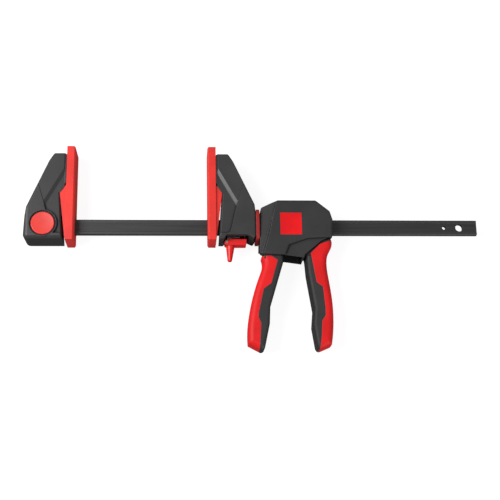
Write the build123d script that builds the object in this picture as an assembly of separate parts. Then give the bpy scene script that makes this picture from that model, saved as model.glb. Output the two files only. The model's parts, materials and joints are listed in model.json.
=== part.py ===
from build123d import *
import os
from math import radians, sin

# One-handed trigger bar clamp, 300 mm class, with a handle that swivels about the bar.
# It lies on its side: X runs along the bar towards the handle, Y points to the jaw tips, Z is up.
# The origin is the working face of the fixed pad on the bar's centre line. Lengths in mm.

# ---- bar ---------------------------------------------------------------------------------
BAR_LENGTH = 496.5
BAR_HEIGHT = 17.0  # across Y
BAR_THICK = 6.0  # across Z
BAR_EDGE = 0.7  # broken long edges
BAR_CHANNEL_WIDTH = 10.6  # shallow rolled channel along both flat sides
BAR_CHANNEL_DEPTH = 0.3
BAR_BEHIND_PAD = 49.5  # bar end behind the fixed pad's face
LOCK_HOLE_R = 4.2
LOCK_BEHIND_PAD = 33.2  # lock pin axis behind the fixed pad's face
END_HOLE_R = 4.25
END_HOLE_INSET = 19.7
STOP_HOLE_R = 2.25
STOP_HOLE_INSET = 36.8
BAR_SLIDE = 0.3  # clearance of everything that slides on the bar

# ---- jaws and pads: depth is measured from the pad's face, away from the work ------------
OPENING = 145.3  # between the pads, as the clamp lies
PAD_THICK = 9.2
PAD_TOP = 89.2
PAD_BOTTOM = -18.0
PAD_HALF_WIDTH = 17.0
PAD_BEVEL = 1.4
WEDGE_HALF_WIDTH = 15.2
WEDGE_TOP = 45.0
WEDGE_APEX = (16.0, 35.5)  # depth and height of the pad's rear ridge
WEDGE_FOOT = (9.7, -15.5)
TONGUE_DEPTH = 5.0
TONGUE_HALF_WIDTH = 5.0
TONGUE_LOW, TONGUE_HIGH = 52.0, 72.0
TONGUE_FIT = 0.15
HEAD_GAP = 1.7  # between the pad's plate and the head, so that the pad can rock
HEAD_HALF_WIDTH = 18.0
HEAD_TOP = 81.0
HEAD_CROWN = 23.0
HEAD_CROWN_BREAK = (28.5, 72.4)
HEAD_FRONT_FOOT = 12.3
HEAD_ROUND = 2.4
HEAD_SOFT_ROUND = 5.5  # the heavier rounding along the underside, and down the fixed head's back
HEAD_FRONT_BEVEL = 1.6
FIXED_BACK = 54.4
FIXED_SHOULDER = (51.7, 19.0)
FIXED_HEEL = (53.0, 9.0)
MOVING_BACK = 52.6
MOVING_SHOULDER = (51.6, 22.5)
MOVING_HEEL = (MOVING_BACK, 13.0)
HEAD_BOTTOM = -17.3
SCOOP_DEPTH = 2.2
SCOOP_SLOPE = 4.6  # run of the scoop's sloped upper wall
SCOOP_APEX = (33.6, 26.4)
ARM_STEP = 0.45  # the arm lies this much below the shoulder
ARM_STEP_END = (39.6, 45.0)

# ---- lock button in the fixed head -------------------------------------------------------
BUTTON_R = 12.7
BUTTON_HEIGHT = 8.0
BUTTON_PROUD = 0.4
BUTTON_DISH = 0.7
BUTTON_FIT = 0.35
WELL_R = 14.3
WELL_DEPTH = 1.3
WELL_RIM = 0.9
LOCK_TRAVEL = 5.2
YOKE_WIDTH = 5.0
YOKE_THICK = 2.0
LOCK_PIN_R = 4.0
LOCK_PIN_REACH = 5.0  # how far the pin enters the bar
HEAD_WALL = 3.0

# ---- release lever and brake plate in the moving jaw -------------------------------------
LEVER_PIVOT = (21.0, -17.7)  # depth and height
LEVER_PIN_R = 1.5
LEVER_LUG_R = 3.0
LEVER_LUG_HALF = 2.2  # the lug of the jaw that stands in the lever's slot
LEVER_LUG_GAP = 0.3
LEVER_HALF_WIDTH = 7.0
LEVER_FINGER_HALF = 5.6  # half width of the finger at its root
LEVER_ARM_TOP = -14.6
LEVER_ARM_END = 43.1
LEVER_ARM_THICK = 6.6
LEVER_FINGER_TOP, LEVER_FINGER_TIP = 5.3, 2.4  # radii of the finger
LEVER_FINGER_LEAN = 1.0
LEVER_TIP_Y = -38.7
LEVER_TRAVEL = 8.0
BRAKE_FULCRUM = (24.7, 14.5)
BRAKE_THICK = 3.0
BRAKE_HALF_WIDTH = 9.0
BRAKE_CANT = 6.4
BRAKE_FOOT = 13.5
BRAKE_FOOT_THICK = 1.1
BRAKE_FOOT_GAP = 2.75  # above the lever arm when the plate stands upright
BRAKE_WINDOW_PLAY = 0.45
JAW_POCKET_HALF = 11.2
JAW_POCKET_FRONT, JAW_POCKET_BACK = 20.0, 45.6
JAW_POCKET_TOP = 17.0
JAW_ARCH_Y = -12.5
JAW_FOOT_FRONT, JAW_FOOT_BACK = 17.5, 49.4
JAW_ARCH_BACK = 43.6

# ---- swivel joint ------------------------------------------------------------------------
NECK_R = 11.8
NECK_SHOULDER_R = 15.0
NECK_SHOULDER = 0.3
RING_HALF = 17.5
RING_CORNER = 6.0
RING_THICK = 3.8
SWIVEL_GAP = 0.3
SWIVEL_FIT = 0.05
CIRCLIP_R = 12.8
CIRCLIP_THICK = 1.5
NECK_END = 7.0  # past the handle's origin
NECK_GROOVE = 1.0

# ---- handle housing: x is measured from the handle's origin, at the foot of its front wall
HOUSING_FRONT = 1.0  # front face where it runs on the ring
HOUSING_LEAN = 1.3  # the front face leans back this much at its top
HOUSING_HALF_WIDTH = 18.0
HOUSING_WALL = 3.0
MOUTH_CORNER = (5.5, -25.0, 8.0)  # the front wall ends above this; a lip is left on the near side
ROOT_HALF_WIDTH = 15.6
COLLAR_HALF_WIDTH = 13.2  # bottom of the groove between the root panel and the soft grip
HANDLE_HALF_WIDTH = 14.5
HOUSING_TOP = 27.2
HOUSING_CORNER = 2.8
HOUSING_ROUND = 2.5
HOUSING_BOTTOM = -35.2
FACET_STEP = 0.45  # height of each of the two steps along the ridge
FACET_DROP = 0.25  # slope of the facet, from the ridge towards the neck
FACET_WALL = 2.0
LABEL_CENTRE = (35.1, -0.2)
LABEL_WIDTH, LABEL_HEIGHT = 23.5, 24.8
LABEL_THICK = 0.6
LABEL_SINK = 0.4
SCREW_PLACES = ((18.0, 19.6), (61.5, 17.6), (55.2, -23.8), (63.4, -76.5), (63.4, -102.0))
SCREW_R = 1.5
SCREW_HEAD_R = 2.9
SCREW_HEAD = 1.6
SCREW_LENGTH = 22.0
SCREW_SINK = 2.6

# ---- trigger and drive -------------------------------------------------------------------
TRIGGER_PIVOT = (27.7, 17.4)
TRIGGER_PIN_R = 2.5
TRIGGER_BOSS_R = 5.2
TRIGGER_HALF_WIDTH = 14.0
TRIGGER_STROKE = 18.0  # degrees
FORK_INNER, FORK_OUTER = 9.8, 14.2
NOSE_R = 4.0
NOSE_SETBACK = 5.0  # nose centre ahead of the pivot, on the bar's axis
WEB_CENTRE = (11.2, -24.0)
WEB_R = 7.4
PIN_FIT = 0.05
DRIVE_R = 13.4
COLLAR_THICK = 4.0
COLLAR_GAP = 0.25
COLLAR_NOSE = 1.0
PLATE_THICK = 2.5
PLATE_CANT = 2.2
PLATE_GAP = 0.3
BUSH_R = 12.0
BUSH_FLANGE_R = 14.2
BUSH_FLANGE = 2.2
BUSH_END = 82.2
CAVITY_BACK = 74.0
SPRING_R = 10.3  # mean radius of the springs round the bar
SPRING_WIRE = 1.1
GRIP_SKIN = 3.2  # thickness of the soft grips over their cores
GRIP_ROUND = 6.5  # rounding of the soft outer edges and the tips
CORE_ROUND = 3.5  # rounding of the hard inner edges
PIN_REACH = 17.0  # half length of the trigger's pin
SCREW_PILLAR_R = 3.0

# ---- places worked out from the sizes ----------------------------------------------------
BAR_END = BAR_LENGTH - BAR_BEHIND_PAD
LOCK_X = -LOCK_BEHIND_PAD
JAW_BACK_X = OPENING + MOVING_BACK
HANDLE_X = JAW_BACK_X + NECK_SHOULDER + RING_THICK + SWIVEL_GAP - HOUSING_FRONT
DRIVE_X = TRIGGER_PIVOT[0] - NOSE_SETBACK + NOSE_R + COLLAR_GAP


def block(low, high):
    """A box between two corners."""
    size = [b - a for a, b in zip(low, high)]
    return Pos(*[(a + b) / 2 for a, b in zip(low, high)]) * Box(*size)


def outline(*points):
    """A closed flat outline from its corners."""
    return make_face(Polyline(*points, close=True).edges())


def slab(sketch, low, high):
    """A flat outline carried from one height to another along Z."""
    return extrude(Pos(0, 0, low) * sketch, amount=high - low)


def both_sides(sketch, inner, outer):
    """The same slab on the two sides of the clamp's mid-plane."""
    return slab(sketch, inner, outer) + slab(sketch, -outer, -inner)


def disc(radius, start, end):
    """A round disc or tube blank about the bar's axis."""
    return Plane.YZ.offset(start) * extrude(Circle(radius), amount=end - start)


def bar_window(start, end, play=BAR_SLIDE):
    """The slot through which the bar passes."""
    half_h, half_t = BAR_HEIGHT / 2 + play, BAR_THICK / 2 + play
    return block((start, -half_h, -half_t), (end, half_h, half_t))


def coil(radius, wire, length, turns):
    """A helical spring about Z, from z = wire / 2 up, with plain ends."""
    rise = length - wire
    path = Helix(pitch=rise / turns, height=rise, radius=radius)
    section = Plane(origin=path @ 0, z_dir=path % 0) * Circle(wire / 2)
    return Pos(0, 0, wire / 2) * sweep(section, path=path, is_frenet=True)


def corner(sketch, x, y, radius):
    """Rounds the corner of an outline that lies nearest to a point."""
    return fillet(sketch.vertices().sort_by_distance((x, y, 0))[0], radius)


# ---- bar ---------------------------------------------------------------------------------
def make_bar():
    bar = block(
        (-BAR_BEHIND_PAD, -BAR_HEIGHT / 2, -BAR_THICK / 2), (BAR_END, BAR_HEIGHT / 2, BAR_THICK / 2)
    )
    bar = chamfer(bar.edges().filter_by(Axis.X), BAR_EDGE)
    half = BAR_CHANNEL_WIDTH / 2
    for low in (BAR_THICK / 2 - BAR_CHANNEL_DEPTH, -BAR_THICK / 2):
        bar -= block((-BAR_BEHIND_PAD, -half, low), (BAR_END, half, low + BAR_CHANNEL_DEPTH))
    for x, radius in (
        (LOCK_X, LOCK_HOLE_R),
        (BAR_END - END_HOLE_INSET, END_HOLE_R),
        (BAR_END - STOP_HOLE_INSET, STOP_HOLE_R),
    ):
        bar -= Pos(x, 0, 0) * Cylinder(radius, 2 * BAR_THICK)
    return bar


# ---- heads and pads: made with the depth along +X, then set in place ----------------------
HEAD_FRONT = PAD_THICK + HEAD_GAP
NOTCH_TOP = WEDGE_TOP - HEAD_GAP * (WEDGE_TOP - WEDGE_APEX[1]) / (WEDGE_APEX[0] - PAD_THICK)


def head_blank(back, shoulder, heel):
    """The tapering arm of a jaw, with the notch that seats the pad's ridge."""
    arm = outline(
        (HEAD_FRONT, HEAD_TOP),
        (HEAD_CROWN, HEAD_TOP),
        HEAD_CROWN_BREAK,
        shoulder,
        heel,
        (back, HEAD_BOTTOM),
        (HEAD_FRONT_FOOT, HEAD_BOTTOM),
        WEDGE_APEX,
        (HEAD_FRONT, NOTCH_TOP),
    )
    arm = corner(arm, back, HEAD_BOTTOM, 2.0)
    arm = corner(arm, *shoulder, 6.0)
    arm = corner(arm, *HEAD_CROWN_BREAK, 5.0)
    arm = corner(arm, HEAD_CROWN, HEAD_TOP, 3.0)
    body = slab(arm, -HEAD_HALF_WIDTH, HEAD_HALF_WIDTH)
    rims = body.faces().filter_by(Axis.Z).edges()
    return fillet(rims, HEAD_ROUND)


def soft_envelope(back, back_round):
    """A block about the head's foot, with the heavy rounding along its underside and back."""
    body = block((0, HEAD_BOTTOM, -HEAD_HALF_WIDTH), (back, 2 * HEAD_TOP, HEAD_HALF_WIDTH))
    body = fillet(body.faces().sort_by(Axis.X)[-1].edges().filter_by(Axis.Y), back_round)
    under = body.faces().sort_by(Axis.Y)[0].edges().filter_by(Axis.X)
    return fillet(under, HEAD_SOFT_ROUND)


def front_bevel():
    """Bars that break the scoop's front edges, down from the notch."""
    flank = HEAD_HALF_WIDTH - SCOOP_DEPTH
    apex, foot = Vector(*WEDGE_APEX, flank), Vector(HEAD_FRONT_FOOT, HEAD_BOTTOM, flank)
    along = (apex - foot).normalized()
    outward = Vector(-along.Y, along.X, 1.0).normalized()
    depth = HEAD_FRONT_BEVEL * sin(radians(45))
    tool = Plane((apex + foot) / 2, x_dir=along, z_dir=outward)
    bar = tool * Pos(0, 0, -depth / 4) * Box((apex - foot).length, 2.5 * depth, 1.5 * depth)
    return bar + mirror(bar, about=Plane.XY)


def scoop():
    """The recess on each flank: a sloped upper wall, a steep rear wall and a flat floor."""
    run_x, run_y = 0.874, 0.486  # unit vector up the sloped wall, across its foot
    foot_x, foot_y = SCOOP_APEX[0] - run_x * SCOOP_SLOPE, SCOOP_APEX[1] - run_y * SCOOP_SLOPE
    reach = 60
    floor = outline(
        (foot_x - reach * run_y, foot_y + reach * run_x),
        (foot_x + reach * run_y, foot_y - reach * run_x),
        (-reach, foot_y - reach * run_x),
        (-reach, foot_y + reach * run_x),
    )
    high = HEAD_HALF_WIDTH - SCOOP_DEPTH
    lean = Vector(run_x * SCOOP_SLOPE, run_y * SCOOP_SLOPE, SCOOP_DEPTH)
    sloped = extrude(Pos(0, 0, high) * floor, amount=2 * lean.length, dir=lean)
    x, y = SCOOP_APEX
    low_x, low_y = x - 9.0, JAW_ARCH_Y + 1.2
    rear = outline((0, 95), (x, 95), (x, y), (x - 4.0, y - 15.4), (low_x, low_y), (0, low_y))
    rear = corner(rear, low_x, low_y, 6.0)
    cut = sloped & slab(rear, high - 1, HEAD_HALF_WIDTH + 1)
    return cut + mirror(cut, about=Plane.XY)


def arm_step():
    """The low step that carries the scoop's rear wall on to the back edge, above the shoulder."""
    (x0, y0), (x1, y1) = SCOOP_APEX, ARM_STEP_END
    x2, y2, high = 2 * x1 - x0, 2 * y1 - y0, 2 * HEAD_TOP
    area = outline((x0, y0), (x2, y2), (x2, high), (0, high), (0, y0))
    return both_sides(area, HEAD_HALF_WIDTH - ARM_STEP, HEAD_HALF_WIDTH + 1)


def tongue(play=0.0):
    """The rib behind the pad that the head's slot takes."""
    half = TONGUE_HALF_WIDTH + play
    return block(
        (PAD_THICK - 0.5, TONGUE_LOW - play, -half),
        (PAD_THICK + TONGUE_DEPTH + play, TONGUE_HIGH + play, half),
    )


def make_pad():
    """A bevelled pressure cap with the ridge that rocks in the head's notch."""
    plate = block((0, PAD_BOTTOM, -PAD_HALF_WIDTH), (PAD_THICK, PAD_TOP, PAD_HALF_WIDTH))
    plate = chamfer(plate.faces().sort_by(Axis.X)[0].edges(), PAD_BEVEL)
    ridge = outline((PAD_THICK - 0.5, WEDGE_TOP), (PAD_THICK, WEDGE_TOP), WEDGE_APEX, WEDGE_FOOT,
                    (PAD_THICK - 0.5, WEDGE_FOOT[1]))
    pad = plate + slab(ridge, -WEDGE_HALF_WIDTH, WEDGE_HALF_WIDTH) + tongue()
    return pad - bar_window(-1, WEDGE_APEX[0] + 1)


def make_fixed_head():
    """The head at the end of the bar, with the well for the lock button."""
    head = head_blank(FIXED_BACK, FIXED_SHOULDER, FIXED_HEEL)
    head &= soft_envelope(FIXED_BACK, HEAD_SOFT_ROUND)
    head = head - scoop() - arm_step() - front_bevel()
    at = Pos(LOCK_BEHIND_PAD, 0, 0)
    bore_r = BUTTON_R + BUTTON_FIT
    floor = -HEAD_HALF_WIDTH + HEAD_WALL
    rim = at * slab(Circle(WELL_R + WELL_RIM), 0, HEAD_HALF_WIDTH)
    head += rim
    head -= at * slab(Circle(WELL_R), HEAD_HALF_WIDTH - WELL_DEPTH, HEAD_HALF_WIDTH + 1)
    head -= at * slab(Circle(bore_r), floor, HEAD_HALF_WIDTH + 1)
    return head - bar_window(0, BAR_BEHIND_PAD + BAR_SLIDE) - tongue(TONGUE_FIT)


def make_moving_head():
    """The sliding head, open below for the release lever, with the swivel neck behind."""
    head = head_blank(MOVING_BACK, MOVING_SHOULDER, MOVING_HEEL)
    head &= soft_envelope(MOVING_BACK, HEAD_ROUND)
    head = head - scoop() - arm_step() - front_bevel()
    pocket = block(
        (JAW_POCKET_FRONT, HEAD_BOTTOM - 1, -JAW_POCKET_HALF),
        (JAW_POCKET_BACK, JAW_POCKET_TOP, JAW_POCKET_HALF),
    )
    arch = slab(
        outline(
            (JAW_FOOT_FRONT - 1, HEAD_BOTTOM - 1),
            (JAW_POCKET_FRONT, JAW_ARCH_Y),
            (JAW_ARCH_BACK, JAW_ARCH_Y),
            (JAW_FOOT_BACK, HEAD_BOTTOM + 1.5),
            (JAW_FOOT_BACK + 0.8, HEAD_BOTTOM - 1),
        ),
        -HEAD_HALF_WIDTH - 1,
        HEAD_HALF_WIDTH + 1,
    )
    px, py = LEVER_PIVOT
    lug = Pos(px, py) * Circle(LEVER_LUG_R) + outline(
        (px, py - LEVER_LUG_R), (px, py + LEVER_LUG_R),
        (JAW_FOOT_FRONT, JAW_ARCH_Y), (JAW_FOOT_FRONT - 3, HEAD_BOTTOM),
    )
    neck = disc(NECK_SHOULDER_R, MOVING_BACK - 4, MOVING_BACK + NECK_SHOULDER)
    neck_end = HANDLE_X - OPENING + NECK_END
    neck += disc(NECK_R, MOVING_BACK, neck_end)
    groove_at = HANDLE_X - OPENING + HOUSING_WALL + 2 * SWIVEL_GAP
    neck -= disc(NECK_R + 1, groove_at, groove_at + CIRCLIP_THICK + SWIVEL_FIT) - disc(
        NECK_R - NECK_GROOVE, groove_at - 1, groove_at + CIRCLIP_THICK + 1
    )
    head = head - pocket - arch + slab(lug, -LEVER_LUG_HALF, LEVER_LUG_HALF) + neck
    head -= Pos(*LEVER_PIVOT, 0) * Cylinder(LEVER_PIN_R, 4 * LEVER_LUG_HALF)
    return head - bar_window(0, neck_end + 1) - tongue(TONGUE_FIT)


def on_fixed_side(solid):
    return mirror(solid, about=Plane.YZ)


def on_moving_side(solid):
    return Pos(OPENING, 0, 0) * solid


# ---- lock button -------------------------------------------------------------------------
BUTTON_TOP = HEAD_HALF_WIDTH + BUTTON_PROUD
YOKE_TOP = BUTTON_TOP - BUTTON_HEIGHT
YOKE_LEG_Y = BAR_HEIGHT / 2 + BAR_SLIDE
YOKE_BRIDGE_TOP = -BAR_THICK / 2 - BAR_SLIDE


def make_lock_button():
    """A round push button with a dished face."""
    cap = slab(Circle(BUTTON_R), YOKE_TOP, BUTTON_TOP)
    cap = chamfer(cap.faces().sort_by(Axis.Z)[-1].edges(), 0.8)
    dish_r = (BUTTON_R**2 + BUTTON_DISH**2) / (2 * BUTTON_DISH)
    cap -= Pos(0, 0, BUTTON_TOP + dish_r - BUTTON_DISH) * Sphere(dish_r)
    return Pos(LOCK_X, 0, 0) * cap


def make_lock_yoke():
    """A steel stirrup that reaches round the bar to carry the pin on its far side."""
    outer = YOKE_LEG_Y + YOKE_THICK
    frame = block((-YOKE_WIDTH / 2, -outer, YOKE_BRIDGE_TOP - YOKE_THICK), (YOKE_WIDTH / 2, outer, YOKE_TOP))
    gap = block(
        (-YOKE_WIDTH, -YOKE_LEG_Y, YOKE_BRIDGE_TOP), (YOKE_WIDTH, YOKE_LEG_Y, YOKE_TOP - YOKE_THICK)
    )
    seat = slab(Circle(LOCK_PIN_R + 1.6), YOKE_BRIDGE_TOP - YOKE_THICK, YOKE_BRIDGE_TOP)
    return Pos(LOCK_X, 0, 0) * (frame - gap + seat)


def make_lock_pin():
    """The stub that enters the hole in the bar from the far side."""
    pin = slab(Circle(LOCK_PIN_R), YOKE_BRIDGE_TOP, -BAR_THICK / 2 + LOCK_PIN_REACH)
    pin = chamfer(pin.faces().sort_by(Axis.Z)[-1].edges(), 0.6)
    return Pos(LOCK_X, 0, 0) * pin


def make_lock_spring():
    floor = -HEAD_HALF_WIDTH + HEAD_WALL
    return Pos(LOCK_X, 0, floor) * coil(4.0, 0.8, YOKE_BRIDGE_TOP - YOKE_THICK - floor, 3)


# ---- release lever and brake -------------------------------------------------------------
def make_release_lever():
    """An arm under the bar and a tapering finger below it, slotted for the jaw's lug."""
    px, py = LEVER_PIVOT
    low = LEVER_ARM_TOP - LEVER_ARM_THICK
    arm = outline(
        (px - 1.6, py + 2.2), (px + 3.4, LEVER_ARM_TOP), (LEVER_ARM_END, LEVER_ARM_TOP),
        (LEVER_ARM_END - 0.8, low), (px - 0.6, low), (px - 2.6, py - 1.6),
    )
    lever = slab(arm, -LEVER_HALF_WIDTH, LEVER_HALF_WIDTH)
    lever = fillet(lever.edges().filter_by(Axis.Z), 0.8)
    lever = fillet(lever.faces().filter_by(Axis.Z).edges(), 0.6)
    root = Plane((px + 4.2, low + 3.4, 0), x_dir=(1, 0, 0), z_dir=(0, -1, 0))
    tip = Plane((px + 4.2 - LEVER_FINGER_LEAN, LEVER_TIP_Y, 0), x_dir=(1, 0, 0), z_dir=(0, -1, 0))
    finger = loft(
        [root * Ellipse(LEVER_FINGER_TOP, LEVER_FINGER_HALF), tip * Ellipse(LEVER_FINGER_TIP, 3.6)]
    )
    finger = fillet(finger.edges().sort_by(Axis.Y)[0], 1.2)
    slot_r, slot_half = LEVER_LUG_R + LEVER_LUG_GAP, LEVER_LUG_HALF + LEVER_LUG_GAP
    slot = Pos(px, py) * Circle(slot_r) + outline(
        (px, py - slot_r), (px, LEVER_ARM_TOP + 1),
        (px - 2 * slot_r, LEVER_ARM_TOP + 1), (px - 2 * slot_r, py - slot_r),
    )
    lever = lever + finger - slab(slot, -slot_half, slot_half)
    return lever - Pos(px, py, 0) * Cylinder(LEVER_PIN_R + PIN_FIT, 4 * LEVER_HALF_WIDTH)


def make_release_pin():
    length = 2 * LEVER_HALF_WIDTH + 0.4
    return Pos(*LEVER_PIVOT, 0) * Cylinder(LEVER_PIN_R, length)


def make_brake_plate():
    """A hardened plate with a foot, canted on the bar about its upper end."""
    fx, fy = BRAKE_FULCRUM
    foot_y = LEVER_ARM_TOP + BRAKE_FOOT_GAP
    plate = block((fx, foot_y, -BRAKE_HALF_WIDTH), (fx + BRAKE_THICK, fy + 1.5, BRAKE_HALF_WIDTH))
    plate += block(
        (fx, foot_y, -BRAKE_HALF_WIDTH + 3), (fx + BRAKE_FOOT, foot_y + BRAKE_FOOT_THICK, BRAKE_HALF_WIDTH - 3)
    )
    plate -= bar_window(fx - 1, fx + BRAKE_THICK + 1, BRAKE_WINDOW_PLAY)
    fulcrum = Pos(fx, fy, 0)
    return fulcrum * Rot(0, 0, -BRAKE_CANT) * fulcrum.inverse() * plate


def make_brake_spring():
    start = BRAKE_FULCRUM[0] + BRAKE_THICK + 0.3
    length = JAW_POCKET_BACK - start
    return Plane.YZ.offset(start) * coil(SPRING_R - 0.4, SPRING_WIRE - 0.1, length, 3)


# ---- swivel ------------------------------------------------------------------------------
def make_swivel_ring():
    """A thin square plate with rounded corners, between the jaw and the handle."""
    start = JAW_BACK_X + NECK_SHOULDER
    face = RectangleRounded(2 * RING_HALF, 2 * RING_HALF, RING_CORNER)
    ring = Plane.YZ.offset(start) * extrude(face, amount=RING_THICK)
    ring = fillet(ring.faces().filter_by(Axis.X).edges(), 0.5)
    return ring - disc(NECK_R + SWIVEL_FIT, start - 1, start + RING_THICK + 1)


def make_circlip():
    """An open spring ring in the neck's groove, inside the housing's front wall."""
    start = HANDLE_X + HOUSING_WALL + 2 * SWIVEL_GAP
    clip = disc(CIRCLIP_R, start, start + CIRCLIP_THICK)
    clip -= disc(NECK_R - NECK_GROOVE + SWIVEL_FIT, start - 1, start + CIRCLIP_THICK + 1)
    return clip - block((start - 1, -20, -3), (start + 4, -NECK_R / 2, 3))


# ---- drive -------------------------------------------------------------------------------
def make_thrust_collar():
    """A round collar keyed on the bar: the trigger pushes it at any swivel angle."""
    x = HANDLE_X + DRIVE_X
    collar = disc(DRIVE_R, x, x + COLLAR_THICK)
    collar += disc(DRIVE_R, x, x + COLLAR_THICK + COLLAR_NOSE) & block(
        (x, DRIVE_R - 2.6, -DRIVE_R), (x + 10, DRIVE_R, DRIVE_R)
    )
    return collar - bar_window(x - 1, x + 10)


def make_drive_plate(index):
    """A round hardened plate, canted on the bar so that its slot grips the edges."""
    lift = DRIVE_R * sin(radians(PLATE_CANT))
    first = HANDLE_X + DRIVE_X + COLLAR_THICK + COLLAR_NOSE + 0.2 - lift + PLATE_THICK / 2
    x = first + index * (PLATE_THICK + PLATE_GAP)
    half = PLATE_THICK / 2
    plate = disc(DRIVE_R, -half, half) - bar_window(-5, 5)
    return Pos(x, 0, 0) * Rot(0, 0, -PLATE_CANT) * plate


def make_rear_bush():
    """The round guide on the bar that the housing's rear wall turns on."""
    flange_at = HANDLE_X + CAVITY_BACK - SWIVEL_GAP - BUSH_FLANGE
    bush = disc(BUSH_FLANGE_R, flange_at, flange_at + BUSH_FLANGE)
    bush += disc(BUSH_R, flange_at, HANDLE_X + BUSH_END)
    bush = chamfer(bush.edges().sort_by(Axis.X)[-1], 0.8)
    return bush - bar_window(flange_at - 1, HANDLE_X + BUSH_END + 1)


def make_drive_spring():
    lift = DRIVE_R * sin(radians(PLATE_CANT))
    start = HANDLE_X + DRIVE_X + COLLAR_THICK + COLLAR_NOSE + 2 * PLATE_THICK + PLATE_GAP + 0.4 + lift
    start -= lift / 2
    end = HANDLE_X + CAVITY_BACK - SWIVEL_GAP - BUSH_FLANGE
    return Plane.YZ.offset(start) * coil(SPRING_R, SPRING_WIRE, end - start, 5)


# ---- handle housing and trigger ----------------------------------------------------------
HANDLE_BACK = ((79.9, -16.5), (79.5, -25.2), (75.3, -34.0), (73.9, -43.5), (75.6, -61.2),
               (78.4, -82.7), (79.2, -103.7), (78.1, -122.0), (76.4, -133.4))
HANDLE_TIP = (61.2, -140.0)
HANDLE_FRONT = ((57.0, -112.0), (58.7, -94.0), (52.7, -54.0), (51.6, -38.0), (48.0, -20.0))
HANDLE_SEAM = ((90.0, -14.1), (66.6, -22.4), (56.5, -32.5), (57.5, -39.7), (61.7, -65.5),
               (68.4, -70.6), (70.3, -94.0), (70.1, -102.3), (66.4, -107.8), (65.1, -124.6),
               (61.5, -150.0))

TRIGGER_FRONT = ((2.6, -35.7), (3.8, -44.0), (1.0, -54.0), (-5.4, -72.5), (-9.9, -91.0),
                 (-13.2, -113.0), (-13.3, -131.8))
TRIGGER_TIP = (3.4, -140.8)
TRIGGER_BACK = ((10.0, -110.4), (10.9, -92.3), (26.1, -42.5), (26.3, -35.7))
TRIGGER_NECK = ((25.0, -38.5), (20.5, -24.0), (4.6, -26.0), (5.4, -38.5))
TRIGGER_SEAM = ((8.0, -30.0), (12.5, -35.2), (19.9, -40.4), (12.3, -66.3), (4.0, -72.4),
                (-1.8, -98.0), (-2.2, -104.0), (0.4, -110.4), (-0.5, -124.3), (-2.4, -150.0))


def handle_outline():
    """The rear handle below the housing, as seen from the side."""
    back = Spline(*HANDLE_BACK)
    rest = Polyline(HANDLE_BACK[-1], HANDLE_TIP, *HANDLE_FRONT, HANDLE_BACK[0])
    return make_face([back.edge(), *rest.edges()])


def trigger_outline():
    """The trigger below the housing, as seen from the side."""
    front = Spline(*TRIGGER_FRONT)
    rest = Polyline(TRIGGER_FRONT[-1], TRIGGER_TIP, *TRIGGER_BACK, TRIGGER_FRONT[0])
    return make_face([front.edge(), *rest.edges()])


def grip_zone(seam, far_x, half_width):
    """The side of a lever that its soft grip covers, bounded by the seam line."""
    top, bottom = seam[0][1], seam[-1][1]
    return slab(outline(*seam, (far_x, bottom), (far_x, top)), -half_width, half_width)


def rims_along(solid, half_width, line):
    """The edges of a lever's two flat sides that run along a line, seen from the side."""
    rims = []
    for edge in solid.edges():
        x, y, z = edge.center()
        if abs(abs(z) - half_width) < 0.01 and line.distance_to((x, y, 0)) < 0.01:
            rims.append(edge)
    return rims


def rounded_lever(profile, half_width, edge, tip, inside):
    """A lever with a heavy rounding along its outer edge and tip, and a lighter one inside."""
    whole = slab(profile, -half_width, half_width)
    rims = rims_along(whole, half_width, Spline(*edge)) + rims_along(whole, half_width, Line(edge[-1], tip))
    whole = fillet(rims, GRIP_ROUND)
    return fillet(rims_along(whole, half_width, Polyline(tip, *inside)), CORE_ROUND)


def core_and_grip(profile, half_width, seam, edge, tip, inside, side):
    """Splits a rounded lever into its hard core, with a rib, and the soft grip over the rib.

    The grip lies on the side of the seam where the edge is: -1 ahead of it, +1 behind it."""
    whole = rounded_lever(profile, half_width, edge, tip, inside)
    reach = 2 * profile.bounding_box().size.Y
    zone = grip_zone(seam, side * reach, half_width + 1)
    inner = [(x - side * GRIP_SKIN, y) for x, y in edge]
    back = [(x - side * reach, y) for x, y in (inner[-1], inner[0])]
    rib = slab(outline(*inner, *back), GRIP_SKIN - half_width, half_width - GRIP_SKIN) & zone
    return whole - zone + rib, (whole & zone) - rib


HOUSING_KNEE = -22.5  # below this the front face runs clear of the ring's corners


def upper_housing_outline():
    return outline(
        (HOUSING_FRONT + HOUSING_LEAN, 19.0), (21.2, HOUSING_TOP), (63.2, HOUSING_TOP), (78.4, 14.9),
        (81.4, 5.2), (80.6, -15.0), (53.3, -16.7), (33.3, -23.6), (31.0, -29.2),
        (28.6, HOUSING_BOTTOM), (0.2, HOUSING_BOTTOM + 1.2), (HOUSING_FRONT, HOUSING_KNEE),
    )


# the root panel's edge beside the soft grip
PANEL_EDGE = ((50.2, -34.2), (68.4, -18.8), (80.0, -13.0))


def root_outline():
    return outline((22.0, -20.0), (22.0, -34.6), (30.0, -35.4), (48.6, -38.0), *PANEL_EDGE, (40.0, -12.0))


def cavity():
    """The room inside the housing for the mechanism, open below for the trigger."""
    w = HOUSING_WALL
    room = outline(
        (w + 0.3, -60.0), (w + 0.3, 15.2), (22.0, HOUSING_TOP - w), (62.0, HOUSING_TOP - w),
        (CAVITY_BACK, 15.0), (CAVITY_BACK, -15.0), (49.0, -15.5), (47.6, -36.0), (47.6, -60.0),
    )
    half = HOUSING_HALF_WIDTH - HOUSING_WALL
    return slab(room, -half, half) - facet_wedges(FACET_STEP + FACET_WALL)


# the two lines of the ridge on each flank, from the top down
RIDGE_FRONT = ((17.9, 19.4), (3.1, -30.9))
RIDGE_REAR = ((17.9, 19.4), (11.7, -10.0), (5.9, -29.3))


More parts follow.
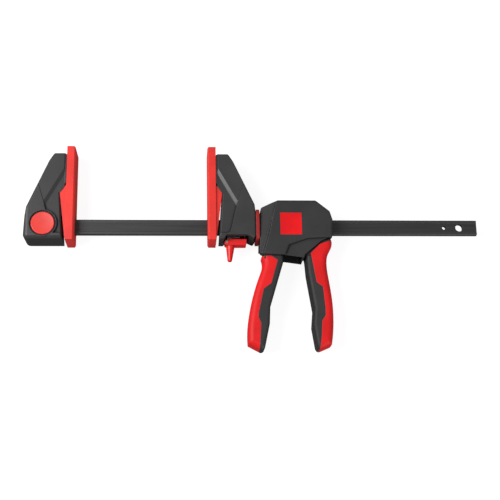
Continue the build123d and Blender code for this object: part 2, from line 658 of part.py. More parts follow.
def facet_wedges(sink):
    """Wedges off both flanks ahead of the ridge, sloping down to the neck from a given depth."""
    (x0, y0), (x1, y1) = RIDGE_FRONT
    along = Vector(x0 - x1, y0 - y1, 0).normalized()
    ahead = Vector(-along.Y, along.X, -FACET_DROP).normalized()
    origin = Vector(x1, y1, HOUSING_HALF_WIDTH - sink)
    tool = Plane(origin, x_dir=along, z_dir=along.cross(ahead))
    reach = 2 * (y0 - y1)
    cutter = tool * Pos(0, reach / 2, reach / 4) * Box(2 * reach, reach, reach / 2)
    return cutter + mirror(cutter, about=Plane.XY)


def front_facet():
    """The stepped ridge line and the facet ahead of it, by which the housing narrows to the neck."""
    (x0, y0), (x1, y1), (x2, y2) = RIDGE_REAR
    up_x, up_y = 2 * x0 - x1, 2 * y0 - y1
    down_x, down_y = 2 * x2 - x1, 2 * y2 - y1
    step = outline((up_x, up_y), (x1, y1), (down_x, down_y), (down_x - x0, down_y), (down_x - x0, up_y))
    band = both_sides(step, HOUSING_HALF_WIDTH - FACET_STEP, HOUSING_HALF_WIDTH + 1)
    return band + facet_wedges(2 * FACET_STEP)


def collar_groove():
    """The groove between the root panel and the soft grip."""
    side_x, side_y = HANDLE_SEAM[2]
    low = side_y - 3.5
    line = outline(*PANEL_EDGE, *HANDLE_SEAM[:3], (side_x + 0.5, low), (PANEL_EDGE[0][0] + 1, low))
    return both_sides(line, COLLAR_HALF_WIDTH, HOUSING_HALF_WIDTH)


def screw_seat(y):
    """Height of the screw heads' seats: below the bar the handle is narrower than the housing."""
    half = HOUSING_HALF_WIDTH if y > 0 else HANDLE_HALF_WIDTH
    return -half + SCREW_SINK


def make_housing_screws():
    """The screws that close the two shells, driven from the far side."""
    screws = []
    for x, y in SCREW_PLACES:
        seat = screw_seat(y)
        head = slab(Circle(SCREW_HEAD_R), seat - SCREW_HEAD, seat)
        head -= slab(Rectangle(0.9, 3.4) + Rectangle(3.4, 0.9), seat - SCREW_HEAD - 1, seat - SCREW_HEAD + 0.9)
        screws.append(Pos(x, y, 0) * (head + slab(Circle(SCREW_R), seat, seat + SCREW_LENGTH)))
    return Part() + screws


def make_housing():
    """Housing and rear handle core, before they are split into two shells."""
    upper = slab(upper_housing_outline(), -HOUSING_HALF_WIDTH, HOUSING_HALF_WIDTH)
    upper = fillet(upper.edges().filter_by(Axis.Z), HOUSING_CORNER)
    upper = fillet(upper.faces().filter_by(Axis.Z).edges(), HOUSING_ROUND)
    root = slab(root_outline(), -ROOT_HALF_WIDTH, ROOT_HALF_WIDTH)
    root = fillet(root.faces().filter_by(Axis.Z).edges(), 0.8)
    core, grip = core_and_grip(
        handle_outline(), HANDLE_HALF_WIDTH, HANDLE_SEAM, HANDLE_BACK, HANDLE_TIP, HANDLE_FRONT, 1
    )
    shell = root + core - collar_groove() + upper - cavity()
    grip -= upper
    for x, y in SCREW_PLACES[:2]:
        shell += slab(Pos(x, y) * Circle(SCREW_PILLAR_R), -HOUSING_HALF_WIDTH + 1, HOUSING_HALF_WIDTH - 1)
    mouth = block((-1, HOUSING_BOTTOM - 1, -HOUSING_HALF_WIDTH - 1), MOUTH_CORNER)
    shell -= front_facet() + mouth
    for x, y in SCREW_PLACES:
        seat = screw_seat(y)
        shell -= Pos(x, y) * slab(Circle(SCREW_HEAD_R + 0.15), -HOUSING_HALF_WIDTH - 1, seat)
        shell -= Pos(x, y) * slab(Circle(SCREW_R + PIN_FIT), seat - 1, seat + SCREW_LENGTH + 0.5)
    shell -= disc(NECK_R + SWIVEL_FIT, -5, HOUSING_WALL + 1)
    shell -= disc(BUSH_R + SWIVEL_FIT, CAVITY_BACK - 1, BUSH_END + 5)
    shell -= Pos(*TRIGGER_PIVOT, 0) * Cylinder(TRIGGER_PIN_R, 2 * PIN_REACH)
    lx, ly = LABEL_CENTRE
    recess = Pos(lx, ly) * slab(Rectangle(LABEL_WIDTH, LABEL_HEIGHT), HOUSING_HALF_WIDTH - LABEL_SINK, 30)
    shell -= recess
    return shell, grip


def make_label():
    """A bare panel let into the near shell."""
    low = HOUSING_HALF_WIDTH - LABEL_SINK
    plate = slab(Rectangle(LABEL_WIDTH, LABEL_HEIGHT), low, low + LABEL_THICK)
    return Pos(*LABEL_CENTRE, 0) * plate


def fork_arms():
    """The two arms that pass the bar, from the pivot to the web, with the rounded noses."""
    pivot = Pos(*TRIGGER_PIVOT) * Circle(TRIGGER_BOSS_R)
    nose_x = TRIGGER_PIVOT[0] - NOSE_SETBACK
    nose = Pos(nose_x, 0) * Circle(NOSE_R)
    bend = Pos(nose_x - 1.2, 13.0) * Circle(NOSE_R)
    web = Pos(*WEB_CENTRE) * Circle(WEB_R)
    arm = Sketch() + [make_hull((a + b).edges()) for a, b in ((pivot, bend), (bend, nose), (nose, web))]
    return both_sides(arm, FORK_INNER, FORK_OUTER)


def make_trigger():
    core, grip = core_and_grip(
        trigger_outline(), TRIGGER_HALF_WIDTH, TRIGGER_SEAM, TRIGGER_FRONT, TRIGGER_TIP, TRIGGER_BACK, -1
    )
    neck_half = TRIGGER_HALF_WIDTH - 0.6
    lever = core + fork_arms() + (slab(outline(*TRIGGER_NECK), -neck_half, neck_half) - grip)
    lever += slab(Pos(*WEB_CENTRE) * Circle(WEB_R), -FORK_OUTER, FORK_OUTER)
    lever -= Pos(*TRIGGER_PIVOT, 0) * Cylinder(TRIGGER_PIN_R + PIN_FIT, 2 * PIN_REACH)
    return lever, grip


def make_trigger_pin():
    return Pos(*TRIGGER_PIVOT, 0) * Cylinder(TRIGGER_PIN_R, 2 * PIN_REACH)


def in_handle(shape):
    return Pos(HANDLE_X, 0, 0) * shape


def make_parts():
    parts = {"bar": make_bar()}
    parts["fixed_head_body"] = on_fixed_side(make_fixed_head())
    parts["fixed_pad"] = on_fixed_side(make_pad())
    parts["lock_button"] = make_lock_button()
    parts["lock_yoke"] = make_lock_yoke()
    parts["lock_pin"] = make_lock_pin()
    parts["lock_spring"] = make_lock_spring()
    parts["moving_jaw_body"] = on_moving_side(make_moving_head())
    parts["moving_pad"] = on_moving_side(make_pad())
    parts["release_lever"] = on_moving_side(make_release_lever())
    parts["release_lever_pin"] = on_moving_side(make_release_pin())
    parts["brake_plate"] = on_moving_side(make_brake_plate())
    parts["brake_spring"] = on_moving_side(make_brake_spring())
    parts["swivel_ring"] = make_swivel_ring()
    parts["swivel_circlip"] = make_circlip()
    parts["thrust_collar"] = make_thrust_collar()
    parts["drive_plate_front"] = make_drive_plate(0)
    parts["drive_plate_rear"] = make_drive_plate(1)
    parts["drive_spring"] = make_drive_spring()
    parts["rear_guide_bush"] = make_rear_bush()
    housing, rear_grip = make_housing()
    parts["housing_shell_near"] = in_handle(split(housing, Plane.XY, keep=Keep.TOP))
    parts["housing_shell_far"] = in_handle(split(housing, Plane.XY, keep=Keep.BOTTOM))
    parts["housing_screws"] = in_handle(make_housing_screws())
    parts["rear_grip"] = in_handle(rear_grip)
    parts["label_plate"] = in_handle(make_label())
    trigger, trigger_grip = make_trigger()
    parts["trigger_lever"] = in_handle(trigger)
    parts["trigger_grip"] = in_handle(trigger_grip)
    parts["trigger_pin"] = in_handle(make_trigger_pin())
    return parts


if __name__ == "__main__":
    os.makedirs("parts", exist_ok=True)
    for name, shape in make_parts().items():
        print(name, len(shape.solids()), round(shape.volume, 1), shape.is_valid)
        export_step(shape, f"parts/{name}.step")
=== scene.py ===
import json
import math

import bmesh
import bpy
from bpy.props import FloatProperty, FloatVectorProperty, IntProperty, PointerProperty
from mathutils import Matrix, Vector


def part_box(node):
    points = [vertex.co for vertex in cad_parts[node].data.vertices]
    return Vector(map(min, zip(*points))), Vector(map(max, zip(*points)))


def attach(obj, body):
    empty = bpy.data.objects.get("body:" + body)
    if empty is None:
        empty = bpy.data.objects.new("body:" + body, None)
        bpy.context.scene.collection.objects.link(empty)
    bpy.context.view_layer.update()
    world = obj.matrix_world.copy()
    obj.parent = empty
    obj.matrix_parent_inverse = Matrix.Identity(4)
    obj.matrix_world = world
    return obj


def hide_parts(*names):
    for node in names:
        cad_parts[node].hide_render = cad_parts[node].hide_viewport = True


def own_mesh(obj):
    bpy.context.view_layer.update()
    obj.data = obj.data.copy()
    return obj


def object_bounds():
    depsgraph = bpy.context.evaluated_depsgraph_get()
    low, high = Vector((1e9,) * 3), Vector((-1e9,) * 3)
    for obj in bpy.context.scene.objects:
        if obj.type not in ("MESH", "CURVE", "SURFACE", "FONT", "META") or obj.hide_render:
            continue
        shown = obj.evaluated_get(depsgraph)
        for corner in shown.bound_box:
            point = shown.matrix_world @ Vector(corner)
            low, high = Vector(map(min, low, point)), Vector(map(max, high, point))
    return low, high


bl_info = {
    "name": "Trigger bar clamp",
    "version": (1, 0, 0),
    "blender": (4, 5, 0),
    "location": "View3D > Sidebar > Clamp",
    "description": "Finishes the parts of a one-handed bar clamp and lights them",
    "category": "Object",
}

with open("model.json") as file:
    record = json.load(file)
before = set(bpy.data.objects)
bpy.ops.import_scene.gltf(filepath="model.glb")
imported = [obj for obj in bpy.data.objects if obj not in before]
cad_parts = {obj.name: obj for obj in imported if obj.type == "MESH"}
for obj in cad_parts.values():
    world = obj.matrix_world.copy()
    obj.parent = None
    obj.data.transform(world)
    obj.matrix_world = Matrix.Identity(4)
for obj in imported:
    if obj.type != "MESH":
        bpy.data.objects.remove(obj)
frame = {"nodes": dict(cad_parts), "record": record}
CAD_BOX = [list(corner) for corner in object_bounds()]
FLOOR_HEIGHT = CAD_BOX[0][2]

# Lengths are in metres, and angles in radians, unless a name says otherwise.
WHITE = (1.0, 1.0, 1.0)
BEVEL_SAMPLES = 6
SHELTER_SAMPLES = 8
# On the mouldings the edge mask carries wear and a painted highlight.
EDGE_LEAN = (0.01, 0.2)  # 1 less the cosine of a rounded normal's lean, from no wear to full
DRAW_UPRIGHT = (0.15, 0.75)  # how upright the normal is on a draw face and on a facing one
DRAW_ROUGHNESS = 0.85
# Reach and levels of the painted shade in hollows and grooves.
SHALLOW_HOLLOWS = (0.003, 0.45, 0.9)  # reach, openness when deep and openness when clear
STRONG_HOLLOWS = (0.004, 0.72, 0.97)
# How much of its colour a moulding keeps in its painted shade.
PAINTED_SHADE_TONE = 0.2
GRAIN, FINE_GRAIN, FINEST_GRAIN = 0.0005, 0.0004, 0.0003

BAR_EDGE = 0.0005
BAR_WEAR = (0.20, 0.20, 0.20)
# Where the painted highlight band near each long edge of the bar starts and ends.
SHEEN_START, SHEEN_END = (0.0050, 0.0058), (0.0072, 0.0082)  # from the middle of the bar
METAL_EDGE = 0.00025
HARDENED_STEEL = (0.26, 0.26, 0.27)
SPRING_STEEL = (0.46, 0.46, 0.47)
DUST = (0.75, 0.6, 0.58)

MERGE_DISTANCE = 1e-6
COIL_STEPS, WIRE_SIDES = 40, 10
COIL_END = 1.2  # wire diameters by which a coil's centre line is shorter than its tube
HEAD_SIDES, SHANK_SIDES = 40, 20
HEAD_TAPER, SHANK_SHARE, CROSS_SHARE = 0.9, 0.5, 1.2  # shares of the screw head's radius
SHANK_HEADS = 3  # length of the shank, in heights of the head
SCREW_TURN = 0.4

GROUND_HALF = 20.0
SPECK_SIZE, SPECK_LIFT = 0.15, 0.01
SKY_BLEND = (0.0, 0.8)  # height at which the sky turns from its side level to its top level
LAMP_AIM = Vector((0.15, -0.02, 0.0))
KEY_SIZE, KEY_PLACE = 0.7, (-0.60, 0.0, 0.85)
FRONT_SIZE, FRONT_PLACE = 1.2, (0.95, -1.25, 0.45)
CAMERA_EYE = Vector((0.1163, -0.3403, 1.1119))
CAMERA_RIGHT = Vector((0.9979, -0.01715, 0.0631))
CAMERA_DOWN = Vector((0.0007, -0.9622, -0.2725))
CAMERA_AHEAD = Vector((0.0654, 0.2720, -0.9601))
SENSOR_MM = 36.0
FOCAL_PIXELS, PICTURE_PIXELS = 1050.0, 500.0


# ---- node helpers -------------------------------------------------------------------------
class Number:
    """A number in a shader, so that sums are written as Python expressions."""

    def __init__(self, finish, socket):
        self.finish, self.socket = finish, socket

    def _maths(self, operation, *values):
        node = self.finish.node("Math", {"operation": operation})
        for slot, value in zip(node.inputs, values):
            self.finish.feed(slot, value)
        return Number(self.finish, node.outputs[0])

    def __add__(self, other):
        return self._maths("ADD", self, other)

    def __sub__(self, other):
        return self._maths("SUBTRACT", self, other)

    def __rsub__(self, other):
        return self._maths("SUBTRACT", other, self)

    def __mul__(self, other):
        return self._maths("MULTIPLY", self, other)

    __radd__, __rmul__ = __add__, __mul__

    def at_most(self, limit):
        return self._maths("MINIMUM", self, limit)

    def at_least(self, limit):
        return self._maths("MAXIMUM", self, limit)

    def size(self):
        return self._maths("ABSOLUTE", self)

    def step(self, low, high):
        """0 below low, 1 above high and smooth between."""
        node = self.finish.node("MapRange", {"interpolation_type": "SMOOTHSTEP"}, Value=self)
        node.inputs["From Min"].default_value = low
        node.inputs["From Max"].default_value = high
        return Number(self.finish, node.outputs[0])


class Tree:
    """A node tree, and the one way in which nodes are added to it."""

    family = ""

    def __init__(self, tree):
        self.tree = tree

    def feed(self, slot, value):
        """Links a socket or sets its value."""
        if isinstance(value, Number):
            value = value.socket
        if isinstance(value, bpy.types.NodeSocket):
            self.tree.links.new(value, slot)
        else:
            slot.default_value = value

    def node(self, kind, settings=None, **sockets):
        """Adds a node: its settings first, then its sockets' values or links."""
        node = self.tree.nodes.new(self.family + kind)
        for key, value in (settings or {}).items():
            setattr(node, key, value)
        for key, value in sockets.items():
            self.feed(node.inputs[key.replace("_", " ")], value)
        return node


class Shading(Tree):
    """The shader tree of a material or world, emptied but for its output."""

    family = "ShaderNode"

    def __init__(self, owner, output):
        owner.use_nodes = True
        super().__init__(owner.node_tree)
        self.tree.nodes.clear()
        self.output = self.node(output)

    def rays(self):
        """1 for camera rays, and 1 for the rays of mirrors and glass."""
        path = self.node("LightPath").outputs
        mirrored = Number(self, path["Is Glossy Ray"]) + Number(self, path["Is Transmission Ray"])
        return Number(self, path["Is Camera Ray"]), mirrored.at_most(1.0)


class Finish(Shading):
    """One material and the nodes that make it."""

    def __init__(self, name):
        self.material = bpy.data.materials.new(name)
        super().__init__(self.material, "OutputMaterial")
        where = self.node("TexCoord").outputs
        self.place, self.compass = where["Object"], where["Normal"]

    def stretched(self, scale):
        """Object coordinates stretched along each axis."""
        return self.node("Mapping", Vector=self.place, Scale=scale).outputs[0]

    def noise(self, size, detail=2.0, place=None, roughness=0.5):
        """Noise with blotches of about the given size, from 0 to 1."""
        node = self.node(
            "TexNoise", Vector=place or self.place, Scale=1.0 / size, Detail=detail,
            Roughness=roughness,
        )
        return Number(self, node.outputs[0])

    def along(self, axis):
        """The coordinate along one axis."""
        return Number(self, self.node("SeparateXYZ", Vector=self.place).outputs[axis])

    def mixed(self, factor, first, second):
        node = self.node("Mix", {"data_type": "RGBA"})
        self.feed(node.inputs[0], factor)
        self.feed(node.inputs[6], first)
        self.feed(node.inputs[7], second)
        return node.outputs[2]

    def mottled(self, blotches, colour, first, second, spread=(0.3, 0.7)):
        """A colour that turns from one shade of itself to another with the blotches."""
        return self.mixed(
            blotches.step(*spread), paint(shade(colour, first)), paint(shade(colour, second))
        )

    def soft_edges(self, radius):
        """A normal that rounds the sharp edges, and a mask that is 1 on them."""
        rounded = self.node("Bevel", {"samples": BEVEL_SAMPLES}, Radius=radius).outputs[0]
        straight = self.node("NewGeometry").outputs["Normal"]
        cosine = self.node("VectorMath", {"operation": "DOT_PRODUCT"})
        self.feed(cosine.inputs[0], rounded)
        self.feed(cosine.inputs[1], straight)
        return rounded, (1 - Number(self, cosine.outputs["Value"])).step(*EDGE_LEAN)

    def edgewise(self):
        """1 on the faces that run along the mould's draw, and 0 on those that face it."""
        upright = Number(self, self.node("SeparateXYZ", Vector=self.compass).outputs["Z"])
        return 1 - upright.size().step(*DRAW_UPRIGHT)

    def grooves(self, reach, deep, clear):
        """1 deep in a groove or an inner corner of the piece, and 0 in the open."""
        shelter = self.node(
            "AmbientOcclusion", {"samples": SHELTER_SAMPLES, "only_local": True}, Distance=reach
        )
        return 1 - Number(self, shelter.outputs["AO"]).step(deep, clear)

    def bumped(self, height, distance, strength, normal):
        node = self.node("Bump", Height=height, Distance=distance, Strength=strength, Normal=normal)
        return node.outputs[0]

    def skin(self, colour, roughness, normal, **uniform):
        """The surface shader. What is uniform stays on its own sockets."""
        shader = self.node("BsdfPrincipled", Base_Color=colour, Roughness=roughness, Normal=normal)
        for key, value in uniform.items():
            shader.inputs[key.replace("_", " ")].default_value = value
        self.feed(self.output.inputs["Surface"], shader.outputs[0])
        return self.material


def paint(colour):
    return (*colour, 1.0)


def shade(colour, factor):
    return tuple(min(1.0, c * factor) for c in colour)


def paler_edge_paint(colour, kept, added):
    """The paint of a paler edge: a share of the colour, and some grey.

    It stands for wear, and on the mouldings also for a painted highlight.
    """
    return paint([kept * c + added for c in colour])


# ---- materials ----------------------------------------------------------------------------
# The numbers in these sums are shares of a mask, or what a mask adds to the roughness.
def moulded_plastic(
    name, colour, roughness, edge, grain=GRAIN, rub_and_highlight=0.09, painted_side_shade=0.0, hollows=SHALLOW_HOLLOWS,
    **uniform
):
    """Injection-moulded nylon: spark-eroded grain, faint flow clouds, and shinier edges that are
    paled partly as wear and partly as a painted highlight.

    Its hollows are rougher and darkened with painted shade. Its faces along the mould's draw are
    rougher, and darkened with painted shade by an amount given for each moulding."""
    finish = Finish(name)
    rounded, edge_mask = finish.soft_edges(edge)
    clouds = finish.noise(size=0.03, detail=3.0)
    scuffs = finish.noise(size=0.004, detail=4.0, roughness=0.7).step(low=0.52, high=0.72)
    body = finish.mottled(clouds, colour, first=0.88, second=1.12)
    painted_groove_shade, draw = finish.grooves(*hollows), finish.edgewise()
    # Painted shade: the colour is darkened deep in hollows and inner corners, and on the faces
    # along the mould's draw.
    painted_shade = (0.85 * painted_groove_shade).at_least(draw * painted_side_shade)
    body = finish.mixed(painted_shade, body, paint(shade(colour, PAINTED_SHADE_TONE)))
    # Paler edges: wear, and a painted highlight where light would catch them.
    edge_wear_and_highlight = edge_mask * (1 - painted_groove_shade)
    edge_lightened = finish.mixed(edge_wear_and_highlight * (0.45 + 0.4 * scuffs), body, paler_edge_paint(colour, 0.6, rub_and_highlight))
    rough = roughness + 0.10 * (clouds - 0.5) + 0.06 * scuffs - 0.10 * edge_wear_and_highlight
    rough = (rough + (DRAW_ROUGHNESS - roughness) * draw + 0.4 * painted_groove_shade).at_most(1.0)
    pits = finish.noise(grain, detail=2.0) + 0.6 * finish.noise(grain * 2.6, detail=1.0)
    normal = finish.bumped(pits, distance=0.00004, strength=0.55, normal=rounded)
    return finish.skin(edge_lightened, rough.at_least(0.12), normal, **uniform)


def soft_rubber(name, colour, roughness, edge, **uniform):
    """Soft-touch rubber: matt, finely pebbled, with a trace of dust."""
    finish = Finish(name)
    rounded, edge_mask = finish.soft_edges(edge)
    clouds = finish.noise(size=0.022, detail=3.0)
    dust = finish.noise(size=0.0025, detail=3.0, roughness=0.65).step(low=0.5, high=0.75)
    body = finish.mottled(clouds, colour, first=0.9, second=1.06)
    body = finish.mixed(0.015 * dust, body, paint(DUST))
    edge_lightened = finish.mixed(0.12 * edge_mask, body, paler_edge_paint(colour, 0.7, 0.10))
    rough = roughness + 0.12 * (clouds - 0.5) - 0.06 * edge_mask
    rough = rough + (DRAW_ROUGHNESS - roughness) * finish.edgewise()
    pebbles = finish.noise(size=0.0006, detail=1.0)
    normal = finish.bumped(pebbles, distance=0.00005, strength=0.4, normal=rounded)
    return finish.skin(edge_lightened, rough, normal, **uniform)


def drawn_bar(name, colour):
    """Cold-drawn bar, blackened: streaks along X, and near each edge a smoother band.

    The band's paler colour is a painted highlight.
    """
    finish = Finish(name)
    rounded, edge_mask = finish.soft_edges(BAR_EDGE)
    streaks = finish.noise(size=0.0012, detail=3.0, place=finish.stretched((0.012, 1.0, 1.0)))
    clouds = finish.noise(size=0.05, detail=2.0, place=finish.stretched((0.3, 1.0, 1.0)))
    across = finish.along("Y").size()
    sheen_band = across.step(*SHEEN_START) * (1 - across.step(*SHEEN_END))
    tone = finish.mottled(streaks, colour, first=0.85, second=1.2)
    # Painted highlight: a paler band near each long edge of the bar.
    tone = finish.mixed(0.55 * sheen_band, tone, paint(shade(colour, 1.5)))
    stained = 0.3 * clouds.step(low=0.45, high=0.7)
    tone = finish.mixed(stained, tone, paint(shade(colour, 0.72)))
    tone = finish.mixed(0.2 * edge_mask, tone, paint(BAR_WEAR))
    rough = 0.36 + 0.14 * streaks - 0.05 * sheen_band + 0.08 * clouds + 0.4 * finish.edgewise()
    normal = finish.bumped(streaks, distance=0.00003, strength=0.5, normal=rounded)
    return finish.skin(tone, rough, normal, Metallic=0.75)


def plain_metal(name, colour, roughness, grain=0.0015):
    """Turned or plated steel with fine marks."""
    finish = Finish(name)
    rounded, edge_mask = finish.soft_edges(METAL_EDGE)
    marks = finish.noise(grain, detail=4.0, roughness=0.7)
    stains = finish.noise(size=0.012, detail=2.0)
    tone = finish.mottled(stains, colour, first=1.0, second=0.72, spread=(0.35, 0.7))
    tone = finish.mixed(0.4 * edge_mask, tone, paint(shade(colour, 1.35)))
    rough = roughness + 0.18 * (marks - 0.5) + 0.08 * stains
    normal = finish.bumped(marks, distance=0.00003, strength=0.35, normal=rounded)
    return finish.skin(tone, rough.at_least(0.15), normal, Metallic=1.0)


def white_ground(name, body, lift, share):
    """A matt ground that keeps shadows.

    The camera sees it lifted to white, and mirrors and glass see a share of that."""
    finish = Finish(name)
    speck = finish.noise(SPECK_SIZE, detail=2.0)
    tone = finish.mixed(speck, paint((body,) * 3), paint((body + SPECK_LIFT,) * 3))
    matt = finish.node("BsdfDiffuse", Color=tone)
    seen, mirrored = finish.rays()
    level = lift * (seen + share * mirrored)
    glow = finish.node("Emission", Color=paint(WHITE), Strength=level)
    both = finish.node("AddShader")
    finish.feed(both.inputs[0], matt.outputs[0])
    finish.feed(both.inputs[1], glow.outputs[0])
    finish.feed(finish.output.inputs["Surface"], both.outputs[0])
    return finish.material


# ---- geometry helpers ---------------------------------------------------------------------
def dress(material, *nodes):
    """Puts one material on CAD nodes."""
    for name in nodes:
        mesh = frame["nodes"][name].data
        mesh.materials.clear()
        mesh.materials.append(material)


def body_of(node):
    """The body that a CAD node belongs to."""
    for body, nodes in frame["record"]["behaviour"]["bodies"].items():
        if node in nodes:
            return body
    raise RuntimeError(f"no body holds {node}")


def islands(node):
    """The lowest and highest corners of each separate solid in a CAD node."""
    copy = bmesh.new()
    copy.from_mesh(frame["nodes"][node].data)
    bmesh.ops.remove_doubles(copy, verts=copy.verts, dist=MERGE_DISTANCE)
    boxes, left = [], set(copy.verts)
    while left:
        todo, group = [left.pop()], []
        while todo:
            vert = todo.pop()
            group.append(vert.co)
            for edge in vert.link_edges:
                other = edge.other_vert(vert)
                if other in left:
                    left.remove(other)
                    todo.append(other)
        low = Vector([min(co[i] for co in group) for i in range(3)])
        high = Vector([max(co[i] for co in group) for i in range(3)])
        boxes.append((low, high))
    copy.free()
    return sorted(boxes, key=lambda box: tuple(box[0]))


class Recipe(Tree):
    """A Geometry Nodes tree with named inputs, and the plain meshes that come out of it."""

    SOCKETS = {float: "NodeSocketFloat", tuple: "NodeSocketVector"}

    def __init__(self, name, **inputs):
        super().__init__(bpy.data.node_groups.new(name, "GeometryNodeTree"))
        self.add_socket("Geometry", "INPUT", "NodeSocketGeometry")
        self.sockets = {}
        for key, value in inputs.items():
            self.sockets[key] = self.add_socket(key, "INPUT", self.SOCKETS[type(value)])
            self.sockets[key].default_value = value
        self.add_socket("Geometry", "OUTPUT", "NodeSocketGeometry")
        self.given = self.node("NodeGroupInput")
        self.result = self.node("NodeGroupOutput")

    def add_socket(self, name, way, kind):
        return self.tree.interface.new_socket(name, in_out=way, socket_type=kind)

    def value(self, key):
        return self.given.outputs[key]

    def finish(self, geometry, material):
        """Ends the tree: instances made real and the material set."""
        real = self.node("GeometryNodeRealizeInstances", Geometry=geometry)
        dressed = self.node(
            "GeometryNodeSetMaterial", Geometry=real.outputs[0], Material=material
        )
        self.feed(self.result.inputs[0], dressed.outputs[0])

    def make(self, name, base, material, **values):
        """Runs the tree on a base mesh and keeps the result as a plain mesh object."""
        maker = bpy.data.objects.new(name + "_maker", base)
        bpy.context.collection.objects.link(maker)
        modifier = maker.modifiers.new(name, "NODES")
        modifier.node_group = self.tree
        for key, value in values.items():
            modifier[self.sockets[key].identifier] = value
        evaluated = maker.evaluated_get(bpy.context.evaluated_depsgraph_get())
        mesh = bpy.data.meshes.new_from_object(evaluated)
        maker.modifiers.clear()
        bpy.data.objects.remove(maker)
        if not mesh.polygons:
            raise RuntimeError(f"{name} came out empty")
        mesh.materials.clear()
        mesh.materials.append(material)
        return show(name, mesh)


def show(name, data):
    """Puts a mesh, lamp or camera in the scene."""
    made = bpy.data.objects.new(name, data)
    bpy.context.collection.objects.link(made)
    return made


def place_in_mesh(piece, matrix):
    """Moves a piece by moving its points, so that its object stays at the origin."""
    piece.data.transform(matrix)
    piece.data.update()


def smooth(piece, degrees):
    """Smooth shading, with edges kept sharp where faces meet at more than an angle."""
    piece.data.polygons.foreach_set("use_smooth", [True] * len(piece.data.polygons))
    piece.data.set_sharp_from_angle(angle=math.radians(degrees))


# ---- sizes and colours that a user would change -------------------------------------------
class ColourSettings(bpy.types.PropertyGroup):
    black: FloatVectorProperty(
        name="Black", description="Body mouldings", subtype="COLOR", default=(0.026, 0.026, 0.027)
    )
    red: FloatVectorProperty(
        name="Red", description="Release lever", subtype="COLOR", default=(0.82, 0.014, 0.014)
    )
    # The swivel ring's red is a darker copy of the red: painted shade for the shadow between the
    # jaw and the housing.
    ring: FloatVectorProperty(
        name="Ring red", description="Swivel ring", subtype="COLOR", default=(0.36, 0.012, 0.012)
    )
    button: FloatVectorProperty(
        name="Button red", description="Lock button", subtype="COLOR", default=(0.80, 0.048, 0.036)
    )
    label: FloatVectorProperty(
        name="Label red", description="Bare label panel", subtype="COLOR",
        default=(0.86, 0.008, 0.012),
    )
    pad: FloatVectorProperty(
        name="Pad red", description="Pressure pads", subtype="COLOR", default=(0.82, 0.030, 0.022)
    )
    grip: FloatVectorProperty(
        name="Grip red", description="Soft grips", subtype="COLOR", default=(0.82, 0.010, 0.012)
    )
    bar: FloatVectorProperty(
        name="Bar", description="Blackened bar", subtype="COLOR", default=(0.061, 0.061, 0.061)
    )
    steel: FloatVectorProperty(
        name="Steel", description="Plated pins and screws", subtype="COLOR",
        default=(0.60, 0.56, 0.46),
    )
    edge: FloatProperty(
        name="Edge radius", description="Rounding seen on moulded edges", default=0.0006,
        unit="LENGTH",
    )


class LipSettings(bpy.types.PropertyGroup):
    proud: FloatProperty(
        name="Proud", description="Height in front of the head", default=0.0015, unit="LENGTH"
    )
    rooted: FloatProperty(
        name="Rooted", description="Depth inside the head", default=0.0008, unit="LENGTH"
    )
    foot: FloatProperty(
        name="Foot", description="Lower end, from the bar's middle", default=0.0462, unit="LENGTH"
    )
    top: FloatProperty(
        name="Top", description="Upper end, from the bar's middle", default=0.0804, unit="LENGTH"
    )
    inner: FloatProperty(
        name="Inner", description="Nearer side, from the head's middle", default=0.0065,
        unit="LENGTH",
    )
    outer: FloatProperty(
        name="Outer", description="Farther side, from the head's middle", default=0.0162,
        unit="LENGTH",
    )
    rounding: FloatProperty(
        name="Rounding", description="Radius of a lip's edges", default=0.0006, unit="LENGTH"
    )


class SpringSettings(bpy.types.PropertyGroup):
    wire: FloatProperty(
        name="Wire", description="Wire diameter of the drive spring", default=0.0011, unit="LENGTH"
    )
    turns: IntProperty(
        name="Turns", description="Turns of the drive spring", default=5, min=2, max=12
    )


class ScrewSettings(bpy.types.PropertyGroup):
    head: FloatProperty(
        name="Head", description="Height of the screw head", default=0.0016, unit="LENGTH"
    )
    slot: FloatProperty(
        name="Slot", description="Width of the cross recess", default=0.0009, unit="LENGTH"
    )


class StageSettings(bpy.types.PropertyGroup):
    overhead: FloatProperty(
        name="Overhead", description="Level of the even light from above", default=0.30
    )
    horizon: FloatProperty(
        name="Horizon", description="Level of the even light from the sides", default=0.30
    )
    key: FloatProperty(
        name="Key", description="Power of the smaller lamp, high on the left", default=12.0,
        unit="POWER",
    )
    front: FloatProperty(
        name="Front", description="Power of the larger lamp, low in front on the right",
        default=8.5, unit="POWER",
    )
    ground: FloatProperty(
        name="Ground", description="Paleness of the ground for the light it throws back",
        default=0.22,
    )
    lift: FloatProperty(
        name="Ground lift", description="Brightening of the ground in view", default=0.90
    )
    mirrored: FloatProperty(
        name="Mirrored", description="Share of the white seen in mirrors and glass", default=0.4
    )
    mirrored_ground: FloatProperty(
        name="Mirrored ground", description="Share of the ground's lift seen in mirrors and glass",
        default=0.15,
    )


def settings(name):
    return getattr(bpy.context.scene, name)


# ---- operators ----------------------------------------------------------------------------
class ClampOperator:
    """Common parts of this add-on's operators."""

    bl_options = {"REGISTER", "UNDO"}


class CLAMP_OT_bar(ClampOperator, bpy.types.Operator):
    """Blacken the bar"""

    bl_idname = "clamp.bar"
    bl_label = "Finish the bar"

    def execute(self, context):
        dress(drawn_bar("blackened_bar", settings("clamp_colours").bar), "bar")
        return {"FINISHED"}


